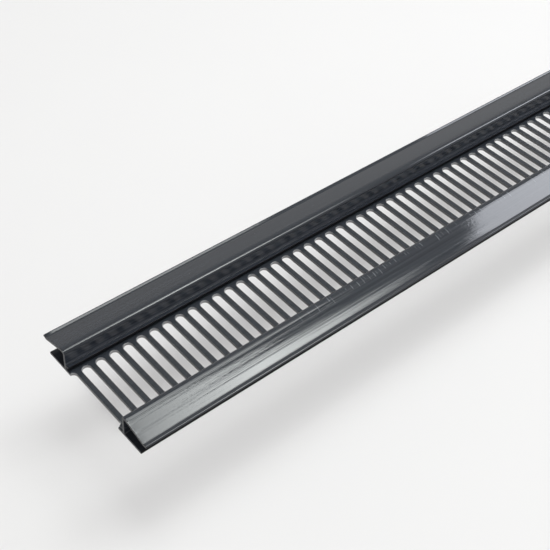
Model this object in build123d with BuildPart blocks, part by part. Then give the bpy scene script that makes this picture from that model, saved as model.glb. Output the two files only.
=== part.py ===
from build123d import *
import os
from math import radians, tan

# Continuous soffit vent strip: one extruded strip with a row of punched air slots.
# X runs along the strip, Y across it and Z up. The origin is the middle of its underside.
# All sizes are in millimetres and all angles in degrees.

# Row of air slots. Both ends of the strip are sawn through the middle of a slot.
slot_width = 5.2
bar_width = 2.8  # plate left between two slots
pitch_count = 60
slot_end_land = 1.25  # plate left between a slot's end and the ledge above it

# Slotted plate, whose two margins are the lower walls of the board channels
plate_thickness = 1.5
trough_width = 47.4  # between the inner faces of the two webs
board_seat = 13.2  # plate outside each web

# Web and upper flange, one wall bent outwards over the board
channel_wall = 1.5
board_gap = 10.5  # clear height beside the web
bend_inner_radius = 0.4
level_top = 0.5  # level stretch between the bend and the slope
slope_radius = 9.0  # soft bend from level to slope
flange_run = 13.4  # width of the sloping part
flange_slope = 15.5
crease_radius = 0.7  # hollow side of the crease between slope and lip
lip_run = 2.03  # lip turned up again at the edge, which leads the board in
lip_rise = 16.0

# Ledge on the inner face of each web, which would hold a strip of mesh down
ledge_gap = 2.0  # open height between plate and ledge
ledge_thickness = 1.0
ledge_reach = 2.2

# Rounded edges. The two edges of one wall share it, so each takes a little under half at most.
lip_edge_radius = 0.72
ledge_edge_radius = 0.35
plate_edge_radius = 0.405
rounded_share = 0.48  # the most of a wall's thickness that one of its edges may take
root_radius = 0.4  # inside corners where a web stands on the plate

slot_pitch = slot_width + bar_width
strip_length = slot_pitch * pitch_count
slot_length = trough_width - 2 * (ledge_reach + slot_end_land)
web_inner_y = trough_width / 2
web_outer_y = web_inner_y + channel_wall
plate_width = 2 * (web_outer_y + board_seat)
bend_radius = bend_inner_radius + channel_wall
flange_top_z = plate_thickness + board_gap + channel_wall
slope_start_y = web_inner_y + bend_radius + level_top + slope_radius * tan(radians(flange_slope / 2))
crease_y = slope_start_y + flange_run
crease_z = flange_top_z - flange_run * tan(radians(flange_slope))
lip_end_y = crease_y + lip_run
lip_end_z = crease_z + lip_run * tan(radians(lip_rise))
ledge_nose_y = web_inner_y - ledge_reach
ledge_z = plate_thickness + ledge_gap

os.makedirs("parts", exist_ok=True)

with BuildPart() as soffit_vent_strip:
    # The section, seen along the strip: its first axis is Y and its second is Z
    with BuildSketch(Plane.YZ) as section:
        # Ledge, let into the web behind it
        with Locations((ledge_nose_y, ledge_z)):
            Rectangle(ledge_reach + channel_wall / 2, ledge_thickness, align=(Align.MIN, Align.MIN))
        ledge_nose = section.edges().sort_by(Axis.X)[0]
        ledge_edge = min(ledge_edge_radius, rounded_share * ledge_thickness)
        fillet(ledge_nose.vertices(), radius=ledge_edge)
        # Web, flange and lip: their upper skin, thickened inwards by the wall
        with BuildLine():
            skin = FilletPolyline(
                (web_inner_y, plate_thickness / 2),
                (web_inner_y, flange_top_z),
                (slope_start_y, flange_top_z),
                (crease_y, crease_z),
                (lip_end_y, lip_end_z),
                radius=[bend_radius, slope_radius, crease_radius],
            )
            offset(skin, amount=channel_wall, side=Side.RIGHT, closed=True)
        make_face()
        lip_end = section.edges().sort_by(Axis.X)[-1]
        fillet(lip_end.vertices(), radius=min(lip_edge_radius, rounded_share * channel_wall))
        mirror(about=Plane.YZ)
        # Plate across both webs
        plate_edge = min(plate_edge_radius, rounded_share * plate_thickness)
        with Locations((0, plate_thickness / 2)):
            RectangleRounded(plate_width, plate_thickness, plate_edge)
        reach_y = web_outer_y + root_radius
        on_plate = section.vertices().filter_by_position(
            Axis.Y, plate_thickness - root_radius, plate_thickness + root_radius
        )
        web_feet = on_plate.filter_by_position(Axis.X, -reach_y, reach_y)
        fillet(web_feet, radius=root_radius)
    extrude(amount=strip_length / 2, both=True)

    # Slots, punched straight through the plate
    with BuildSketch(Plane.XY):
        with GridLocations(slot_pitch, 0, pitch_count + 1, 1):
            SlotOverall(slot_length, slot_width, rotation=90)
    extrude(amount=plate_thickness, mode=Mode.SUBTRACT)

soffit_vent_strip.part.label = "soffit_vent_strip"
export_step(soffit_vent_strip.part, "parts/soffit_vent_strip.step")
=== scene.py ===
from math import acos, cos, pi, radians, sin, tan

import bmesh
import bpy
from mathutils import Matrix, Vector


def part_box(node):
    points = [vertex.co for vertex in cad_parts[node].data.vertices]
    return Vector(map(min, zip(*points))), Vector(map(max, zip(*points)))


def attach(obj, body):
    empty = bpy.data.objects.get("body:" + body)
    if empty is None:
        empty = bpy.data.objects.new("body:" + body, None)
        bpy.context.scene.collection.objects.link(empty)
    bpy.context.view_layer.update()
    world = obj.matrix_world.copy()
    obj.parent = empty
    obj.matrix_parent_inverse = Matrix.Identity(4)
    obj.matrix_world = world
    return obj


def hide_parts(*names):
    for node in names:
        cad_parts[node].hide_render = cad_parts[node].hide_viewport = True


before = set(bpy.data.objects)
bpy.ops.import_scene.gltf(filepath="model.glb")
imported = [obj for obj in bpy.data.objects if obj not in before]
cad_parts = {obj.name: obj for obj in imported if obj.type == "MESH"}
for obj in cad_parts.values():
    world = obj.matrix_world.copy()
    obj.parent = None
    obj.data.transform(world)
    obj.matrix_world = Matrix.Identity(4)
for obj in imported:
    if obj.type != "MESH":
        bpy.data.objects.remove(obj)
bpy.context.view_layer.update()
scene = bpy.context.scene

# Soffit vent strip in the photo's setting. Sizes in the section are in millimetres.
MM = 0.001
low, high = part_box("soffit_vent_strip")
strip_length = (high.x - low.x) / MM

# Slot row
slot_width = 5.2
bar_width = 2.8
slot_end_y = 20.25
seam_y = 21.0  # where the slotted middle of the plate meets its solid sides

# Section, from the middle of the strip outwards
plate_thickness = 1.5
wall = 1.5
web_y = 23.7
board_gap = 10.5
plate_edge_y = 38.4
flange_top_z = plate_thickness + board_gap + wall
slope_y = 27.325
flange_slope = radians(-15.5)
flange_run = 13.4
band_y = 36.6  # from here outwards the flange falls a little more steeply
band_slope = radians(-16.4)
lip_slope = radians(16.0)
lip_run = 2.03
lip_rim_y = 42.0  # the lip's rounded rim is beyond here
rim_face_side = 0.62  # its dull part, painted near black as shade, faces sideways more than this
rim_face_top = 0.2  # and no higher than this
ledge_nose_y = 21.5
ledge_z = 3.5
ledge_thickness = 1.0
ledge_face_y = 23.6  # the ledge's dull faces, painted near black as shade, end here towards the web
ledge_face_foot = 3.45  # and lie between these two heights
ledge_face_top = 4.49

# Radii of the section's corners
bend_radius = 1.9
slope_radius = 9.0
band_radius = 26.0
crease_radius = 2.0
lip_edge_radius = 0.72
ledge_edge_radius = 0.22
ledge_root_radius = 0.16
plate_edge_radius = 0.4
root_radius = 0.4
punch_roll = 0.28  # the punch rolls the slot's upper rim over
punch_arris = 0.1  # and leaves a fine arris below
punch_draft = 0.22  # the slot is this much tighter all round at its lower rim
saw_arris = 0.07
sharp_turn = radians(50.0)  # corners that turn more than this are left crisp
weld = 0.0005  # points closer than this are one
slack = 0.001  # a point this close to a line or a plane lies on it
face_slack = 0.01  # and so does a face whose middle is this close

# Places of the finishes in the strip's list of materials
skin_place, sawn_place, punched_place, painted_shade_place, web_place = range(5)


def skin_point(start, slope, run):
    """Point at the far end of a straight stretch of the section that runs outwards."""
    return Vector((start.x + run, start.y + run * tan(slope)))


def inside_corner(point, slope_in, slope_out):
    """Corner on the under side of a wall whose upper skin turns at this point."""
    middle = (slope_in + slope_out) / 2
    reach = wall / cos((slope_out - slope_in) / 2)
    return point + reach * Vector((sin(middle), -cos(middle)))


def side_corners():
    """Corners of one side of the section as (point, radius), from plate top round to plate bottom."""
    slope_start = Vector((slope_y, flange_top_z))
    crease = skin_point(slope_start, flange_slope, flange_run)
    band = skin_point(crease, band_slope, band_y - crease.x)
    lip_end = skin_point(crease, lip_slope, lip_run)
    lip_under = lip_end + wall * Vector((sin(lip_slope), -cos(lip_slope)))
    return [
        (Vector((seam_y, plate_thickness)), 0.0),
        (Vector((web_y, plate_thickness)), root_radius),
        (Vector((web_y, ledge_z)), 0.0),
        (Vector((ledge_nose_y, ledge_z)), ledge_edge_radius),
        (Vector((ledge_nose_y, ledge_z + ledge_thickness)), ledge_edge_radius),
        (Vector((web_y, ledge_z + ledge_thickness)), ledge_root_radius),
        (Vector((web_y, flange_top_z)), bend_radius),
        (slope_start, slope_radius),
        (band, band_radius),
        (crease, crease_radius),
        (lip_end, lip_edge_radius),
        (lip_under, lip_edge_radius),
        (inside_corner(crease, flange_slope, lip_slope), crease_radius + wall),
        (inside_corner(slope_start, 0.0, flange_slope), slope_radius - wall),
        (Vector((web_y + wall, flange_top_z - wall)), bend_radius - wall),
        (Vector((web_y + wall, plate_thickness)), root_radius),
        (Vector((plate_edge_y, plate_thickness)), plate_edge_radius),
        (Vector((plate_edge_y, 0.0)), plate_edge_radius),
        (Vector((seam_y, 0.0)), 0.0),
    ]


def add_side(bm, length):
    """One side of the section as a ribbon of this length, its corners rounded."""
    corners = side_corners()
    start = [bm.verts.new((0.0, point.x, point.y)) for point, radius in corners]
    edges = [bm.edges.new(pair) for pair in zip(start, start[1:])]
    drawn = bmesh.ops.extrude_edge_only(bm, edges=edges)["geom"]
    ends = [item for item in drawn if isinstance(item, bmesh.types.BMVert)]
    bmesh.ops.translate(bm, verts=ends, vec=(length, 0.0, 0.0))
    for number in range(1, len(corners) - 1):
        point, radius = corners[number]
        if radius == 0.0:
            continue
        before = (point - corners[number - 1][0]).normalized()
        after = (corners[number + 1][0] - point).normalized()
        turn = acos(max(-1.0, min(1.0, before.dot(after))))
        edge = lengthwise_edge(bm, point)
        bmesh.ops.bevel(
            bm,
            geom=[edge],
            offset=radius * tan(turn / 2),
            offset_type="OFFSET",
            segments=max(3, round(turn / radians(15.0)) + (2 if radius > 1.0 else 0)),
            profile=0.5,
            affect="EDGES",
            material=-1,
            clamp_overlap=False,
        )


def lengthwise_edge(bm, point):
    """The edge that runs along the strip through this point of the section."""
    for edge in bm.edges:
        first, second = edge.verts
        along = abs(first.co.x - second.co.x) > 1.0
        if along and (Vector((first.co.y, first.co.z)) - point).length < slack:
            return edge
    raise ValueError("no edge runs through this corner of the section")


def add_slot_quarter(bm, length):
    """A quarter of the plate round one slot: its top, its bottom and the slot's punched wall."""
    radius = slot_width / 2
    arc_y = slot_end_y - radius
    foot = bm.verts.new((radius, 0.0, plate_thickness))
    straight = bmesh.ops.extrude_vert_indiv(bm, verts=[foot])
    shoulder = straight["verts"][0]
    shoulder.co.y = arc_y
    bmesh.ops.spin(
        bm,
        geom=[shoulder],
        cent=(0.0, arc_y, 0.0),
        axis=(0.0, 0.0, 1.0),
        angle=pi / 2,
        steps=9,
        use_merge=False,
    )
    bmesh.ops.remove_doubles(bm, verts=bm.verts[:], dist=weld)
    rim = sorted(bm.verts, key=lambda vert: (round(vert.co.y, 4), -round(vert.co.x, 4)))
    far = [
        bm.verts.new((0.0, seam_y, plate_thickness)),
        bm.verts.new((length, seam_y, plate_thickness)),
        bm.verts.new((length, 0.0, plate_thickness)),
    ]
    top = bm.faces.new(rim + far)
    rim_edges = [edge for edge in top.edges if edge.verts[0] in rim and edge.verts[1] in rim]
    punched = bmesh.ops.extrude_edge_only(bm, edges=rim_edges)["geom"]
    lower = [item for item in punched if isinstance(item, bmesh.types.BMVert)]
    bmesh.ops.translate(bm, verts=lower, vec=(0.0, 0.0, -plate_thickness))
    base = bmesh.ops.duplicate(bm, geom=[top])["geom"]
    base_verts = [item for item in base if isinstance(item, bmesh.types.BMVert)]
    bmesh.ops.translate(bm, verts=base_verts, vec=(0.0, 0.0, -plate_thickness))
    bmesh.ops.remove_doubles(bm, verts=bm.verts[:], dist=weld)
    for vert in bm.verts:
        middle = Vector((0.0, min(vert.co.y, arc_y), 0.0))
        if vert.co.z < slack and (vert.co - middle).length < radius + slack:
            vert.co -= punch_draft * (vert.co - middle).normalized()
    bmesh.ops.recalc_face_normals(bm, faces=bm.faces[:])
    for rim_z, width in ((plate_thickness, punch_roll), (0.0, punch_arris)):
        rim_edges = []
        for edge in bm.edges:
            level = all(abs(vert.co.z - rim_z) < slack for vert in edge.verts)
            if level and len(edge.link_faces) == 2 and edge.calc_face_angle() > sharp_turn:
                rim_edges.append(edge)
        bmesh.ops.bevel(
            bm,
            geom=rim_edges,
            offset=width,
            offset_type="OFFSET",
            segments=2,
            profile=0.5,
            affect="EDGES",
            material=-1,
            clamp_overlap=False,
        )


def mirrored(bm, axis):
    """Adds the mirror image across the plane through the origin square to this axis."""
    copy = bmesh.ops.duplicate(bm, geom=bm.verts[:] + bm.edges[:] + bm.faces[:])["geom"]
    verts = [item for item in copy if isinstance(item, bmesh.types.BMVert)]
    factor = Vector((1.0, 1.0, 1.0))
    factor[axis] = -1.0
    bmesh.ops.scale(bm, vec=factor, verts=verts)
    bmesh.ops.remove_doubles(bm, verts=bm.verts[:], dist=weld)


def repeated(bm, step, count):
    """Repeats the module along the strip this many times."""
    module = bm.verts[:] + bm.edges[:] + bm.faces[:]
    for number in range(1, count):
        copy = bmesh.ops.duplicate(bm, geom=module)["geom"]
        verts = [item for item in copy if isinstance(item, bmesh.types.BMVert)]
        bmesh.ops.translate(bm, verts=verts, vec=(step * number, 0.0, 0.0))
    bmesh.ops.remove_doubles(bm, verts=bm.verts[:], dist=weld)


def close_sawn_ends(bm):
    """Closes both sawn ends, with a fine arris round each cut."""
    half = strip_length / 2
    for vert in bm.verts:
        if abs(vert.co.x) > half - slack:
            vert.co.x += saw_arris if vert.co.x < 0 else -saw_arris
    open_edges = [edge for edge in bm.edges if edge.is_boundary]
    cut_faces = bmesh.ops.holes_fill(bm, edges=open_edges, sides=0)["faces"]
    bmesh.ops.recalc_face_normals(bm, faces=bm.faces[:])
    bmesh.ops.inset_region(
        bm,
        faces=cut_faces,
        thickness=saw_arris,
        depth=saw_arris,
        use_even_offset=True,
        use_boundary=True,
    )


def finish_place(face):
    """Place of a face's finish in the strip's list of materials."""
    middle = face.calc_center_median()
    out = abs(middle.y)
    sideways = abs(face.normal.y)
    if abs(face.normal.x) > 0.9 and abs(middle.x) > strip_length / 2 - face_slack:
        return sawn_place
    if middle.z < plate_thickness:
        if out < slot_end_y + face_slack and abs(face.normal.z) < 0.5:
            return punched_place
        # Plate edges, lip rims and ledge noses take the near-black finish of painted shade
        if out > plate_edge_y - plate_edge_radius:
            return painted_shade_place
    if out > lip_rim_y and sideways > rim_face_side and face.normal.z < rim_face_top:
        return painted_shade_place
    if out < ledge_face_y and ledge_face_foot < middle.z < ledge_face_top:
        return painted_shade_place
    if sideways > 0.99 and abs(out - web_y) < face_slack and middle.z > ledge_z:
        return web_place
    return skin_place


def make_strip():
    """The whole vent strip in one closed piece."""
    pitch = slot_width + bar_width
    bm = bmesh.new()
    add_slot_quarter(bm, pitch / 2)
    side = bmesh.new()
    add_side(side, pitch / 2)
    side_mesh = bpy.data.meshes.new("side")
    side.to_mesh(side_mesh)
    side.free()
    bm.from_mesh(side_mesh)
    bpy.data.meshes.remove(side_mesh)
    bmesh.ops.remove_doubles(bm, verts=bm.verts[:], dist=weld)
    mirrored(bm, 1)
    bmesh.ops.translate(bm, verts=bm.verts[:], vec=(-pitch / 2, 0.0, 0.0))
    mirrored(bm, 0)
    count = round(strip_length / pitch)
    bmesh.ops.translate(bm, verts=bm.verts[:], vec=((pitch - strip_length) / 2, 0.0, 0.0))
    repeated(bm, pitch, count)
    close_sawn_ends(bm)
    for edge in bm.edges:
        edge.smooth = edge.calc_face_angle(0.0) < sharp_turn
    for face in bm.faces:
        face.material_index = finish_place(face)
        face.smooth = face.material_index != sawn_place
    bmesh.ops.scale(bm, vec=(MM, MM, MM), verts=bm.verts[:])
    mesh = bpy.data.meshes.new("vent_strip")
    bm.to_mesh(mesh)
    bm.free()
    strip = bpy.data.objects.new("vent_strip", mesh)
    scene.collection.objects.link(strip)
    return strip


strip = make_strip()


# Materials. Patterns are laid out in millimetres on the piece's own coordinates.
def start_group(name, numbers, results):
    """A new node group, with its number inputs and its outputs."""
    group = bpy.data.node_groups.new(name, "ShaderNodeTree")
    for label, value in numbers:
        item = group.interface.new_socket(label, in_out="INPUT", socket_type="NodeSocketFloat")
        item.default_value = value
    for label in results:
        group.interface.new_socket(label, in_out="OUTPUT", socket_type="NodeSocketFloat")
    given = group.nodes.new("NodeGroupInput").outputs
    wanted = group.nodes.new("NodeGroupOutput").inputs
    return group, given, wanted


def place_group(tree, group, **values):
    """Places a group in a material with this material's own values."""
    node = tree.nodes.new("ShaderNodeGroup")
    node.node_tree = group
    for label, value in values.items():
        node.inputs[label.replace("_", " ")].default_value = value
    return node.outputs


def feed(tree, value, entry):
    """Sets an input to a number or a colour, or links another node's output to it."""
    if isinstance(value, bpy.types.NodeSocket):
        tree.links.new(value, entry)
    else:
        entry.default_value = value


def calc(tree, operation, *values):
    """Output of a maths node."""
    node = tree.nodes.new("ShaderNodeMath")
    node.operation = operation
    for place, value in enumerate(values):
        feed(tree, value, node.inputs[place])
    return node.outputs[0]


def grade(tree, value, start, end, low=0.0, high=1.0):
    """Goes softly from low to high as the value goes from start to end."""
    node = tree.nodes.new("ShaderNodeMapRange")
    node.interpolation_type = "SMOOTHSTEP"
    for label, number in (("From Min", start), ("From Max", end), ("To Min", low), ("To Max", high)):
        feed(tree, number, node.inputs[label])
    feed(tree, value, node.inputs["Value"])
    return node.outputs[0]


def own_axes(tree, wanted):
    """The piece's own coordinates along these axes, in millimetres."""
    place = tree.nodes.new("ShaderNodeTexCoord")
    axes = tree.nodes.new("ShaderNodeSeparateXYZ")
    tree.links.new(place.outputs["Object"], axes.inputs[0])
    return [calc(tree, "DIVIDE", axes.outputs[axis], MM) for axis in wanted]


def joined(tree, x, y, z):
    """Vector of these three."""
    node = tree.nodes.new("ShaderNodeCombineXYZ")
    for place, value in enumerate((x, y, z)):
        feed(tree, value, node.inputs[place])
    return node.outputs[0]


def cloud(tree, vector, detail):
    """Soft noise about 0.5, with one bump to each unit of the vector."""
    node = tree.nodes.new("ShaderNodeTexNoise")
    feed(tree, vector, node.inputs["Vector"])
    node.inputs["Scale"].default_value = 1.0
    node.inputs["Detail"].default_value = detail
    return node.outputs[0]


def tint(tree, share, first, second):
    """Colour between two others."""
    node = tree.nodes.new("ShaderNodeMix")
    node.data_type = "RGBA"
    feed(tree, share, node.inputs["Factor"])
    for place, value in ((6, first), (7, second)):
        linked = isinstance(value, bpy.types.NodeSocket)
        feed(tree, value if linked else (*value, 1.0), node.inputs[place])
    return node.outputs[2]


def make_die_lines():
    """Fine lines that the die draws along the strip: each is long, and narrow across."""
    group, given, wanted = start_group(
        "die_lines", [("Width", 1.0), ("Length", 120.0), ("Depth", 0.006)], ["Height", "Streak"]
    )
    x, y, z = own_axes(group, "XYZ")
    along = calc(group, "DIVIDE", x, given["Length"])
    across = calc(group, "DIVIDE", y, given["Width"])
    up = calc(group, "DIVIDE", z, given["Width"])
    streak = cloud(group, joined(group, along, across, up), 1.5)
    feed(group, streak, wanted["Streak"])
    about_zero = calc(group, "SUBTRACT", streak, 0.5)
    feed(group, calc(group, "MULTIPLY", about_zero, given["Depth"]), wanted["Height"])
    return group


def make_grain():
    """Fine grain of a moulded or cut face, even in all directions."""
    group, given, wanted = start_group("grain", [("Size", 1.0), ("Depth", 0.005)], ["Height", "Tone"])
    spread = [calc(group, "DIVIDE", axis, given["Size"]) for axis in own_axes(group, "XYZ")]
    tone = cloud(group, joined(group, *spread), 2.0)
    feed(group, tone, wanted["Tone"])
    about_zero = calc(group, "SUBTRACT", tone, 0.5)
    feed(group, calc(group, "MULTIPLY", about_zero, given["Depth"]), wanted["Height"])
    return group


def make_specks():
    """Scattered specks of dust, or nicks when stretched along the strip."""
    group, given, wanted = start_group(
        "specks", [("Spacing", 3.0), ("Radius", 0.25), ("Share", 0.3), ("Stretch", 1.0)], ["Mask"]
    )
    x, y, z = own_axes(group, "XYZ")
    x = calc(group, "DIVIDE", x, given["Stretch"])
    spread = [calc(group, "DIVIDE", axis, given["Spacing"]) for axis in (x, y, z)]
    cells = group.nodes.new("ShaderNodeTexVoronoi")
    feed(group, joined(group, *spread), cells.inputs["Vector"])
    cells.inputs["Scale"].default_value = 1.0
    chance = group.nodes.new("ShaderNodeSeparateColor")
    feed(group, cells.outputs["Color"], chance.inputs[0])
    kept = calc(group, "LESS_THAN", chance.outputs[0], given["Share"])
    reach = calc(group, "MULTIPLY", cells.outputs["Distance"], given["Spacing"])
    size = calc(group, "MULTIPLY", given["Radius"], calc(group, "ADD", chance.outputs[1], 0.5))
    spot = grade(group, calc(group, "DIVIDE", reach, size), 0.6, 1.0, 1.0, 0.0)
    feed(group, calc(group, "MULTIPLY", kept, spot), wanted["Mask"])
    return group


def make_score():
    """One fine groove along both flanges, at a distance from the strip's middle line."""
    group, given, wanted = start_group(
        "score", [("Place", 30.0), ("Half Width", 0.4), ("Depth", 0.004)], ["Height"]
    )
    [y] = own_axes(group, "Y")
    from_middle = calc(group, "ABSOLUTE", y)
    away = calc(group, "ABSOLUTE", calc(group, "SUBTRACT", from_middle, given["Place"]))
    flank = grade(group, calc(group, "DIVIDE", away, given["Half Width"]), 0.0, 1.0, -1.0, 0.0)
    feed(group, calc(group, "MULTIPLY", flank, given["Depth"]), wanted["Height"])
    return group


# Rub marks beside the slots, by their distance from the strip's middle line
tick_start, tick_start_spread = 25.0, 1.4
tick_end, tick_end_spread = 27.8, 3.2
tick_lean_y = 28.0
tick_bow_y, tick_bow = 31.0, 0.025


def make_punch_ticks():
    """Light rub marks that the slot punch leaves on the flange beside it, once or twice a pitch."""
    group, given, wanted = start_group("punch_ticks", [("Phase", 0.1), ("Lean", 0.12)], ["Mask"])
    x, y = own_axes(group, "XY")
    away = calc(group, "ABSOLUTE", y)
    # Each mark leans and bows a little along the strip as it runs outwards
    squared = calc(group, "POWER", calc(group, "SUBTRACT", away, tick_bow_y), 2.0)
    bow = calc(group, "MULTIPLY", squared, tick_bow)
    lean = calc(group, "MULTIPLY", calc(group, "SUBTRACT", away, tick_lean_y), given["Lean"])
    shifted = calc(group, "ADD", x, calc(group, "ADD", lean, bow))
    turns = calc(group, "DIVIDE", shifted, slot_width + bar_width)
    counted = calc(group, "SUBTRACT", turns, given["Phase"])
    number = calc(group, "ROUND", counted)
    chance = group.nodes.new("ShaderNodeTexWhiteNoise")
    feed(group, joined(group, number, given["Phase"], 0.0), chance.inputs["Vector"])
    draws = group.nodes.new("ShaderNodeSeparateColor")
    feed(group, chance.outputs["Color"], draws.inputs[0])
    # Its width, where it begins and ends across the flange, and how strong it is
    aside = calc(group, "ABSOLUTE", calc(group, "SUBTRACT", counted, number))
    line = grade(group, aside, 0.012, 0.042, 1.0, 0.0)
    first = calc(group, "ADD", calc(group, "MULTIPLY", draws.outputs[0], tick_start_spread), tick_start)
    last = calc(group, "ADD", calc(group, "MULTIPLY", draws.outputs[1], tick_end_spread), tick_end)
    begun = grade(group, calc(group, "SUBTRACT", away, first), 0.0, 0.5)
    done = grade(group, calc(group, "SUBTRACT", away, last), -1.2, 0.0, 1.0, 0.0)
    kept = grade(group, draws.outputs[2], 0.35, 0.85)
    both = calc(group, "MULTIPLY", calc(group, "MULTIPLY", begun, done), kept)
    feed(group, calc(group, "MULTIPLY", line, both), wanted["Mask"])
    return group


die_lines = make_die_lines()
grain = make_grain()
specks = make_specks()
score = make_score()
punch_ticks = make_punch_ticks()


def start_material(name, specular):
    """A material with its shader, whose specular level is the same all over."""
    material = bpy.data.materials.new(name)
    material.use_nodes = True
    tree = material.node_tree
    shader = tree.nodes["Principled BSDF"]
    shader.inputs["Specular IOR Level"].default_value = specular
    return material, tree, shader


def raise_skin(tree, shader, heights):
    """Bumps the surface by the sum of these heights, given in millimetres."""
    total = heights[0]
    for height in heights[1:]:
        total = calc(tree, "ADD", total, height)
    bump = tree.nodes.new("ShaderNodeBump")
    bump.inputs["Strength"].default_value = 1.0
    bump.inputs["Distance"].default_value = MM
    feed(tree, total, bump.inputs["Height"])
    feed(tree, bump.outputs["Normal"], shader.inputs["Normal"])


# Colours of the finishes
drawn_dark = (0.018, 0.0208, 0.026)
drawn_light = (0.026, 0.0292, 0.0355)
ledge_painted_shade = (0.004, 0.006, 0.012)
rub_mark = (0.11, 0.12, 0.135)
skin_dust = (0.16, 0.16, 0.155)
web_dark = (0.016, 0.0195, 0.027)
web_light = (0.034, 0.04, 0.052)
web_line = (0.05, 0.056, 0.07)
foot_highlight_dark = (0.07, 0.078, 0.094)
foot_highlight_light = (0.1, 0.11, 0.13)
sawn_dark = (0.043, 0.044, 0.047)
sawn_light = (0.084, 0.085, 0.089)
saw_dust = (0.2, 0.2, 0.2)
sheared_low = (0.11, 0.11, 0.11)
sheared_high = (0.085, 0.087, 0.09)
slot_end_painted_light = (0.23, 0.23, 0.235)
# Near-black colours of painted shade on plate edges, lip rims and ledge noses
painted_shade_dark = (0.006, 0.006, 0.007)
painted_shade_light = (0.018, 0.018, 0.021)

# Where one finish gives way to the next, across the section or along the strip
flange_edge = (24.0, 24.8)  # out from the webs, to the flanges
plate_top = (1.5, 1.7)  # up from the plate
ledge_top_edge = (4.0, 4.3)  # up to the ledges' tops, which take painted shade
nick_fade = (30.0, 33.0)  # the nicks thin out across the flange
punch_begin = (-150.0, -115.0)  # the rub marks begin along the strip
web_foot = (5.2, 6.8)  # the painted highlight at the web's foot fades upwards
slot_end = (17.2, 19.0)  # painted light on the slot's wall grows towards its end

flange_roughness = 0.04

# Fine grooves along both flanges: distance from the middle line, half width and depth
flange_scores = [
    (27.8, 0.5, 0.006),
    (28.6, 0.3, 0.003),
    (34.9, 0.25, 0.003),
    (35.8, 0.5, 0.008),
    (36.4, 0.25, 0.004),
    (37.2, 0.3, 0.003),
]


def make_skin():
    """Glossy anthracite skin, as it comes out of the die."""
    material, tree, shader = start_material("anthracite_skin", 0.5)
    x, y, z = own_axes(tree, "XYZ")
    away = calc(tree, "ABSOLUTE", y)
    on_flange = grade(tree, away, *flange_edge)
    on_plate = grade(tree, z, *plate_top, 1.0, 0.0)
    near_side = calc(tree, "LESS_THAN", y, 0.0)
    # Relief: hairlines and lines from the die, grain, slow waves, scores and nicks
    hair = place_group(tree, die_lines, Width=0.22, Length=60.0, Depth=0.003)
    fine = place_group(tree, die_lines, Width=0.6, Length=160.0, Depth=0.005)
    middling = place_group(tree, die_lines, Width=1.9, Length=260.0, Depth=0.01)
    broad = place_group(tree, die_lines, Width=6.0, Length=420.0, Depth=0.014)
    peel = place_group(tree, grain, Size=1.5, Depth=0.009)
    waves = place_group(tree, grain, Size=24.0, Depth=0.03)
    drawn_line = grade(tree, fine["Streak"], 0.6, 0.68)
    drawn_line = calc(tree, "MULTIPLY", drawn_line, calc(tree, "MULTIPLY", near_side, on_flange))
    lines = calc(tree, "ADD", calc(tree, "ADD", hair["Height"], fine["Height"]), middling["Height"])
    calm = calc(tree, "ADD", calc(tree, "MULTIPLY", near_side, 0.75), 0.25)
    nicks = place_group(tree, specks, Spacing=2.2, Radius=0.2, Share=0.3, Stretch=9.0)["Mask"]
    nicked = calc(tree, "MULTIPLY", grade(tree, away, *nick_fade, 1.0, 0.25), on_flange)
    heights = [
        calc(tree, "MULTIPLY", lines, calm),
        broad["Height"],
        peel["Height"],
        waves["Height"],
        calc(tree, "MULTIPLY", drawn_line, -0.004),
        calc(tree, "MULTIPLY", calc(tree, "MULTIPLY", nicks, nicked), -0.008),
    ]
    for place, half_width, depth in flange_scores:
        groove = place_group(tree, score, Place=place, Half_Width=half_width, Depth=depth)
        heights.append(groove["Height"])
    raise_skin(tree, shader, heights)
    # Colour: drawn streaks, painted shade on the ledge tops, marks where the punch rubbed the near
    # flange, and dust
    streaks = calc(tree, "ADD", fine["Streak"], middling["Streak"])
    shade = grade(tree, streaks, 0.65, 1.35)
    drawn = tint(tree, shade, drawn_dark, drawn_light)
    # Painted shade darkens the skin inside the webs, above the ledges
    inside = calc(tree, "SUBTRACT", 1.0, on_flange)
    ledge_top = calc(tree, "MULTIPLY", inside, grade(tree, z, *ledge_top_edge))
    drawn = tint(tree, calc(tree, "MULTIPLY", ledge_top, 0.3), drawn, ledge_painted_shade)
    first_tick = place_group(tree, punch_ticks, Phase=0.1, Lean=0.16)["Mask"]
    second_tick = place_group(tree, punch_ticks, Phase=0.56, Lean=0.24)["Mask"]
    third_tick = place_group(tree, punch_ticks, Phase=0.8, Lean=0.1)["Mask"]
    second_tick = calc(tree, "MAXIMUM", second_tick, calc(tree, "MULTIPLY", third_tick, 0.5))
    punch_side = calc(tree, "MULTIPLY", near_side, grade(tree, x, *punch_begin))
    ticks = calc(tree, "MULTIPLY", calc(tree, "MAXIMUM", first_tick, second_tick), punch_side)
    rubbed = tint(tree, calc(tree, "MULTIPLY", ticks, 0.8), drawn, rub_mark)
    dust = place_group(tree, specks, Spacing=4.0, Radius=0.2, Share=0.2, Stretch=1.0)["Mask"]
    dusted = tint(tree, calc(tree, "MULTIPLY", dust, 0.5), rubbed, skin_dust)
    feed(tree, dusted, shader.inputs["Base Color"])
    # The flanges are glossiest. The plate is duller, and so are streaks, lines and marks.
    marked = calc(tree, "MAXIMUM", ticks, dust)
    roughness = flange_roughness
    for share, extra in ((on_plate, 0.11), (shade, 0.03), (drawn_line, 0.05), (marked, 0.12)):
        roughness = calc(tree, "ADD", roughness, calc(tree, "MULTIPLY", share, extra))
    feed(tree, roughness, shader.inputs["Roughness"])
    return material


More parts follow.
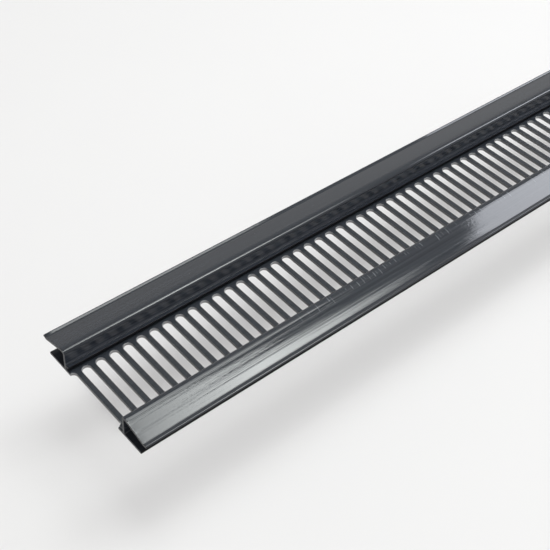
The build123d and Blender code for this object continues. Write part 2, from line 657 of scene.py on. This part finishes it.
def make_web():
    """Inner face of each web, dragged duller in the die, with a painted highlight along its foot."""
    material, tree, shader = start_material("anthracite_web", 0.25)
    [z] = own_axes(tree, "Z")
    fine = place_group(tree, die_lines, Width=0.8, Length=70.0, Depth=0.01)
    drag = place_group(tree, die_lines, Width=0.75, Length=8.0, Depth=0.06)
    peel = place_group(tree, grain, Size=1.5, Depth=0.009)
    raise_skin(tree, shader, [fine["Height"], drag["Height"], peel["Height"]])
    dragged = grade(tree, drag["Streak"], 0.36, 0.64)
    face = tint(tree, dragged, web_dark, web_light)
    lined = tint(tree, grade(tree, fine["Streak"], 0.52, 0.66, 0.0, 0.5), face, web_line)
    # Painted highlight: a lighter band along the web's foot, where it meets the ledge
    foot = grade(tree, z, *web_foot, 0.9, 0.0)
    foot_highlighted = tint(tree, foot, lined, tint(tree, dragged, foot_highlight_dark, foot_highlight_light))
    feed(tree, foot_highlighted, shader.inputs["Base Color"])
    feed(tree, grade(tree, dragged, 0.0, 1.0, 0.18, 0.26), shader.inputs["Roughness"])
    return material


def make_sawn():
    """Ends cut with a fine saw: paler and dull, with the saw's lines."""
    material, tree, shader = start_material("anthracite_sawn", 0.4)
    y, z = own_axes(tree, "YZ")
    across = calc(tree, "MULTIPLY", y, 0.25)
    leaning = calc(tree, "MULTIPLY", calc(tree, "ADD", z, calc(tree, "MULTIPLY", y, 0.35)), 5.0)
    saw = cloud(tree, joined(tree, 0.0, across, leaning), 1.0)
    rough = place_group(tree, grain, Size=0.25, Depth=0.03)
    raise_skin(tree, shader, [calc(tree, "MULTIPLY", saw, 0.03), rough["Height"]])
    cut = tint(tree, grade(tree, saw, 0.3, 0.7), sawn_dark, sawn_light)
    dust = place_group(tree, specks, Spacing=0.8, Radius=0.12, Share=0.3, Stretch=1.0)["Mask"]
    feed(tree, tint(tree, dust, cut, saw_dust), shader.inputs["Base Color"])
    feed(tree, grade(tree, rough["Tone"], 0.2, 0.8, 0.5, 0.68), shader.inputs["Roughness"])
    return material


def make_punched():
    """Walls of the slots, sheared by the punch, and lightened towards their ends with painted reflected
    light.
    """
    material, tree, shader = start_material("anthracite_punched", 0.5)
    x, y, z = own_axes(tree, "XYZ")
    along, across = calc(tree, "MULTIPLY", x, 3.0), calc(tree, "MULTIPLY", y, 3.0)
    sheared = cloud(tree, joined(tree, along, across, z), 1.5)
    rough = place_group(tree, grain, Size=0.3, Depth=0.012)
    raise_skin(tree, shader, [calc(tree, "MULTIPLY", sheared, 0.012), rough["Height"]])
    torn = grade(tree, calc(tree, "ADD", z, calc(tree, "MULTIPLY", sheared, 0.8)), 0.5, 1.3)
    side_wall = tint(tree, torn, sheared_low, sheared_high)
    # Painted reflection: the end walls are lightened, standing in for the bright floor they mirror
    lit_end = grade(tree, calc(tree, "ABSOLUTE", y), *slot_end)
    lit_wall = tint(tree, lit_end, side_wall, slot_end_painted_light)
    feed(tree, lit_wall, shader.inputs["Base Color"])
    feed(tree, grade(tree, torn, 0.0, 1.0, 0.5, 0.32), shader.inputs["Roughness"])
    return material


def make_painted_shade_edge():
    """Plate edges, lip rims and ledge noses, dull and painted near black as shade."""
    material, tree, shader = start_material("anthracite_painted_shade", 0.06)
    knife = place_group(tree, die_lines, Width=0.3, Length=60.0, Depth=0.01)
    rough = place_group(tree, grain, Size=0.5, Depth=0.01)
    raise_skin(tree, shader, [knife["Height"], rough["Height"]])
    # Near-black colour: painted shade
    dark = tint(tree, knife["Streak"], painted_shade_dark, painted_shade_light)
    feed(tree, dark, shader.inputs["Base Color"])
    feed(tree, grade(tree, rough["Tone"], 0.2, 0.8, 0.45, 0.6), shader.inputs["Roughness"])
    return material


for finish in (make_skin(), make_sawn(), make_punched(), make_painted_shade_edge(), make_web()):
    strip.data.materials.append(finish)
shading = strip.modifiers.new("weighted_normals", "WEIGHTED_NORMAL")
shading.keep_sharp = True
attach(strip, "root")
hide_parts("soffit_vent_strip")

# Camera at the photo's place and angle
camera_place = Vector((-394.7, -280.75, 395.13)) * MM
camera_aim = Vector((-122.86, 6.03, 9.5)) * MM
camera_roll = radians(4.243)
camera_data = bpy.data.cameras.new("camera")
camera_data.lens = 69.0
camera_data.sensor_width = 36.0
camera_data.clip_start = 0.01
camera = bpy.data.objects.new("camera", camera_data)
aim = (camera_aim - camera_place).to_track_quat("-Z", "Y").to_matrix()
rolled = (aim @ Matrix.Rotation(camera_roll, 3, "Z")).to_4x4()
camera.matrix_world = Matrix.Translation(camera_place) @ rolled
scene.collection.objects.link(camera)
scene.camera = camera

# Floor below the strip
floor_z = -0.055
floor_reach = 30.0
floor_dark = (0.584, 0.568, 0.572)
floor_light = (0.603, 0.591, 0.592)
floor_lift = 0.5  # share of plain white in what is seen of the floor
lift_in_painted_shadow = 0.3  # and of the floor under the strip, lower there to paint a deeper shadow
# That painted shadow, in millimetres: its middle line, and how it fades aside of it and at its ends
beneath_y = 34.0
beneath_fade = (16.0, 38.0)
beneath_near = (-228.0, -208.0)
beneath_far = (225.0, 260.0)
floor_bm = bmesh.new()
bmesh.ops.create_grid(floor_bm, x_segments=1, y_segments=1, size=floor_reach)
bmesh.ops.translate(floor_bm, verts=floor_bm.verts[:], vec=(0.0, 0.0, floor_z))
floor_mesh = bpy.data.meshes.new("floor")
floor_bm.to_mesh(floor_mesh)
floor_bm.free()
floor = bpy.data.objects.new("floor", floor_mesh)
scene.collection.objects.link(floor)


def make_pale_floor():
    """Matt pale floor. What the camera and the gloss see of it is lifted towards white, less under the
    strip, which paints a shadow there.
    """
    material, tree, shader = start_material("pale_floor", 0.2)
    shader.inputs["Roughness"].default_value = 0.9
    place = tree.nodes.new("ShaderNodeTexCoord")
    spread = tree.nodes.new("ShaderNodeMapping")
    spread.inputs["Scale"].default_value = (9.0, 9.0, 9.0)
    feed(tree, place.outputs["Object"], spread.inputs["Vector"])
    drift = cloud(tree, spread.outputs["Vector"], 3.0)
    feed(tree, tint(tree, drift, floor_dark, floor_light), shader.inputs["Base Color"])
    # White is mixed in for the camera and the gloss alone, and least under the strip, which paints a
    # deeper shadow there
    path = tree.nodes.new("ShaderNodeLightPath")
    seen = calc(tree, "MAXIMUM", path.outputs["Is Camera Ray"], path.outputs["Is Glossy Ray"])
    seen = calc(tree, "MAXIMUM", seen, path.outputs["Is Transmission Ray"])
    white = tree.nodes.new("ShaderNodeEmission")
    white.inputs["Color"].default_value = (0.955, 0.955, 0.95, 1.0)
    lifted = tree.nodes.new("ShaderNodeMixShader")
    x, y = own_axes(tree, "XY")
    aside = calc(tree, "ABSOLUTE", calc(tree, "SUBTRACT", y, beneath_y))
    beneath = grade(tree, aside, *beneath_fade, 1.0, 0.0)
    begun, done = grade(tree, x, *beneath_near), grade(tree, x, *beneath_far, 1.0, 0.0)
    within = calc(tree, "MULTIPLY", begun, done)
    share = grade(tree, calc(tree, "MULTIPLY", beneath, within), 0.0, 1.0, floor_lift, lift_in_painted_shadow)
    feed(tree, calc(tree, "MULTIPLY", seen, share), lifted.inputs[0])
    feed(tree, shader.outputs[0], lifted.inputs[1])
    feed(tree, white.outputs[0], lifted.inputs[2])
    feed(tree, lifted.outputs[0], tree.nodes["Material Output"].inputs["Surface"])
    return material


floor.data.materials.append(make_pale_floor())

# Pale sky, darker overhead: its level by height, from the horizon at 0 to straight up at 1
sky_levels = [(0.0, 0.72), (0.36, 0.7), (0.52, 0.5), (0.82, 0.48), (0.95, 0.24), (1.0, 0.2)]
sky_tint = (1.0, 0.985, 0.975)
world = bpy.data.worlds.new("world")
world.use_nodes = True
nodes, links = world.node_tree.nodes, world.node_tree.links
direction = nodes.new("ShaderNodeTexCoord")
height = nodes.new("ShaderNodeSeparateXYZ")
sky = nodes.new("ShaderNodeValToRGB")
links.new(direction.outputs["Generated"], height.inputs[0])
links.new(height.outputs["Z"], sky.inputs["Fac"])
links.new(sky.outputs["Color"], nodes["Background"].inputs["Color"])
for number, (place, level) in enumerate(sky_levels):
    ends = {0: sky.color_ramp.elements[0], len(sky_levels) - 1: sky.color_ramp.elements[-1]}
    stop = ends.get(number) or sky.color_ramp.elements.new(place)
    stop.color = (*(level * part for part in sky_tint), 1.0)
scene.world = world

# Lamps. Places and sizes are in metres, and levels are a surface's brightness.
lamp_height = 1.2
panel_tint = (0.965, 1.0, 0.98)
far_tint = (0.95, 0.98, 1.05)
key_tint = (0.96, 1.0, 0.98)
fill_tint = (1.0, 0.98, 1.0)
key_level = 14.4
fill_level = 0.6


def add_lamp(name, width, depth, place, radiance_from, radiance_to, colour):
    """A flat lamp whose light changes evenly over its width, from one side to the other."""
    data = bpy.data.lights.new(name, "AREA")
    data.shape = "RECTANGLE"
    data.size = width
    data.size_y = depth
    data.energy = pi * width * depth
    data.use_nodes = True
    nodes, links = data.node_tree.nodes, data.node_tree.links
    across = nodes.new("ShaderNodeNewGeometry")
    sides = nodes.new("ShaderNodeSeparateXYZ")
    level = nodes.new("ShaderNodeMapRange")
    level.inputs["To Min"].default_value = radiance_from
    level.inputs["To Max"].default_value = radiance_to
    links.new(across.outputs["Parametric"], sides.inputs[0])
    links.new(sides.outputs["X"], level.inputs["Value"])
    links.new(level.outputs["Result"], nodes["Emission"].inputs["Strength"])
    nodes["Emission"].inputs["Color"].default_value = (*colour, 1.0)
    lamp = bpy.data.objects.new(name, data)
    lamp.matrix_world = place
    scene.collection.objects.link(lamp)


def overhead(x, y, turn):
    """Place of a panel in the ceiling, which shines straight down."""
    return Matrix.Translation(Vector((x, y, lamp_height))) @ Matrix.Rotation(radians(turn), 4, "Z")


def facing(place, aim_at):
    """Place of a panel that faces a point."""
    turn = (Vector(aim_at) - Vector(place)).to_track_quat("-Z", "Y").to_matrix().to_4x4()
    return Matrix.Translation(Vector(place)) @ turn


# One long panel in two lengths, whose inner edge crosses the near flange's reflection at a slant
row_turn = -11.5
row_start = Vector((0.10, 0.091, 0.0))
row_depth = 0.42

# A wide panel far beyond the strip, in two strips of its depth
far_turn = -14.0
far_start = Vector((0.985, 0.0, 0.0))
far_width = 0.9


def in_row(start, width):
    """Place of one length of the panel row, from where it starts along the row."""
    middle = Vector((start + width / 2, -row_depth / 2, 0.0))
    place = row_start + Matrix.Rotation(radians(row_turn), 3, "Z") @ middle
    return overhead(place.x, place.y, row_turn)


def in_far_row(start, depth):
    """Place of one strip of the far panels, from where it starts along their near edge."""
    middle = Vector((far_width / 2, start + depth / 2, 0.0))
    place = far_start + Matrix.Rotation(radians(far_turn), 3, "Z") @ middle
    return overhead(place.x, place.y, far_turn)


add_lamp("panel_near", 0.34, row_depth, in_row(0.0, 0.34), 3.0, 14.6, panel_tint)
add_lamp("panel_long", 0.40, row_depth, in_row(0.34, 0.40), 14.4, 3.2, panel_tint)
add_lamp("panel_behind", 0.46, 0.14, overhead(0.37, 0.24, row_turn), 5.4, 5.4, panel_tint)
add_lamp("panel_behind_back", 0.46, 0.20, overhead(0.37, 0.41, row_turn), 4.8, 1.0, panel_tint)
add_lamp("panel_behind_end", 0.20, 0.12, overhead(0.69, 0.17, row_turn), 1.8, 1.0, panel_tint)
add_lamp("panel_front", 0.60, 0.30, overhead(0.62, -0.62, row_turn), 4.0, 2.0, panel_tint)
add_lamp("panel_far", far_width, 0.42, in_far_row(-0.18, 0.42), 6.8, 8.2, far_tint)
add_lamp("panel_far_back", far_width, 0.22, in_far_row(0.24, 0.22), 5.2, 6.2, far_tint)
key_place = facing((-0.05, 0.05, 1.5), (-0.07, 0.0, 0.0))
add_lamp("key", 0.46, 0.46, key_place, key_level, key_level, key_tint)
fill_place = facing((-1.3, -1.1, 1.3), (0.0, 0.0, 0.0))
add_lamp("fill_left", 1.4, 1.4, fill_place, fill_level, fill_level, fill_tint)

scene.view_settings.view_transform = "Standard"
